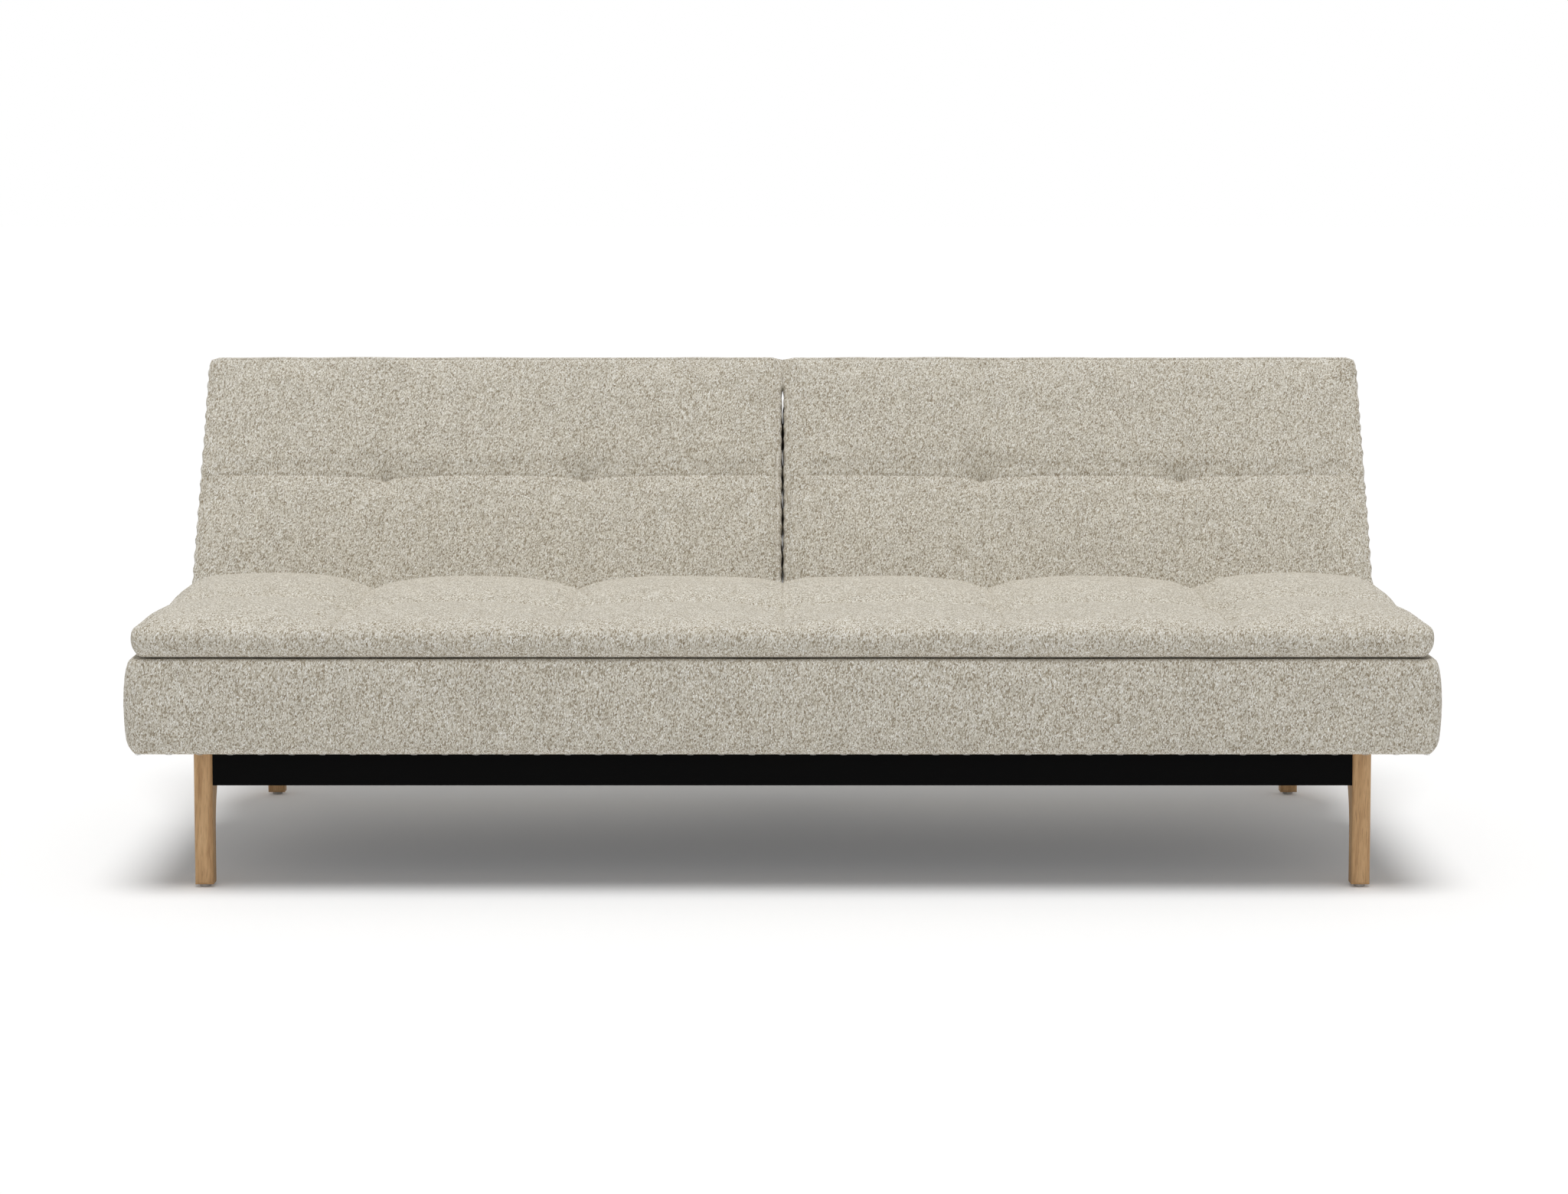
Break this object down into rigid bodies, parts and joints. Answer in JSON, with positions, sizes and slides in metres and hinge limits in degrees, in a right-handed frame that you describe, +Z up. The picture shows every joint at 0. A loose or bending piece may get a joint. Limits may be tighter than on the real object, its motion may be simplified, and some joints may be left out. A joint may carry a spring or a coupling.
{
  "type": "sofa bed",
  "caption": "Click clack sofa bed: tufted seat, split back that tilts upright or lies flat on ratchet hinges, flared oak legs under a black steel chassis.",
  "frame": {"origin": "centre of the footprint at floor level", "axes": "+X along the length, to the right seen from the front; +Y from the seat front to the back; +Z up"},
  "size_m": [2.1, 0.9199, 0.7987],
  "materials": {
    "boucle": "woven melange, beige",
    "foam": "open foam",
    "dust_cloth": "matt non-woven",
    "oak": "satin lacquer",
    "pine": "planed",
    "black_steel": "satin powder coat",
    "zinc_steel": "zinc plated",
    "glide_plastic": "matt"
  },
  "bodies": {
    "chassis": {"centre_rail": "black_steel", "foot_glides": "glide_plastic", "front_apron": "black_steel", "hinge_bracket_left_inner": "zinc_steel", "hinge_bracket_left_outer": "zinc_steel", "hinge_bracket_right_inner": "zinc_steel", "hinge_bracket_right_outer": "zinc_steel", "leg_bolts": "zinc_steel", "leg_front_left": "oak", "leg_front_right": "oak", "leg_plates": "black_steel", "leg_rear_left": "oak", "leg_rear_right": "oak", "pivot_bolts": "zinc_steel", "rear_rail": "black_steel", "seat_beams": "pine", "seat_board_front": "pine", "seat_board_left": "pine", "seat_board_rear": "pine", "seat_board_right": "pine", "seat_core": "foam", "seat_cover": "boucle", "seat_dust_cover": "dust_cloth", "seat_frame_clips": "black_steel", "seat_ledgers": "pine", "seat_pad": "boucle", "seat_slats": "pine", "side_rail_left": "black_steel", "side_rail_right": "black_steel"},
    "back_left": {"back_left_bottom_rail": "black_steel", "back_left_core": "foam", "back_left_cover": "boucle", "back_left_inner_arm": "zinc_steel", "back_left_inner_rail": "black_steel", "back_left_outer_arm": "zinc_steel", "back_left_outer_rail": "black_steel", "back_left_pad": "boucle", "back_left_slats": "pine", "back_left_top_rail": "black_steel"},
    "back_right": {"back_right_bottom_rail": "black_steel", "back_right_core": "foam", "back_right_cover": "boucle", "back_right_inner_arm": "zinc_steel", "back_right_inner_rail": "black_steel", "back_right_outer_arm": "zinc_steel", "back_right_outer_rail": "black_steel", "back_right_pad": "boucle", "back_right_slats": "pine", "back_right_top_rail": "black_steel"},
    "pawls_left": {"pawls_left": "zinc_steel"},
    "pawls_right": {"pawls_right": "zinc_steel"}
  },
  "joints": [
    {"name": "back_left_recline", "type": "hinge", "parent": "chassis", "child": "back_left", "pos_m": [-0.46215, 0.21068, 0.3296], "axis": [-1, 0, 0], "range_deg": [-10.59, 63.53]},
    {"name": "pawls_left_drop", "type": "hinge", "parent": "back_left", "child": "pawls_left", "pos_m": [-0.46215, 0.21831, 0.38958], "axis": [1, 0, 0], "range_deg": [0, 7]},
    {"name": "back_right_recline", "type": "hinge", "parent": "chassis", "child": "back_right", "pos_m": [0.46215, 0.21068, 0.3296], "axis": [-1, 0, 0], "range_deg": [-10.59, 63.53]},
    {"name": "pawls_right_drop", "type": "hinge", "parent": "back_right", "child": "pawls_right", "pos_m": [0.46215, 0.21831, 0.38958], "axis": [1, 0, 0], "range_deg": [0, 7]}
  ]
}
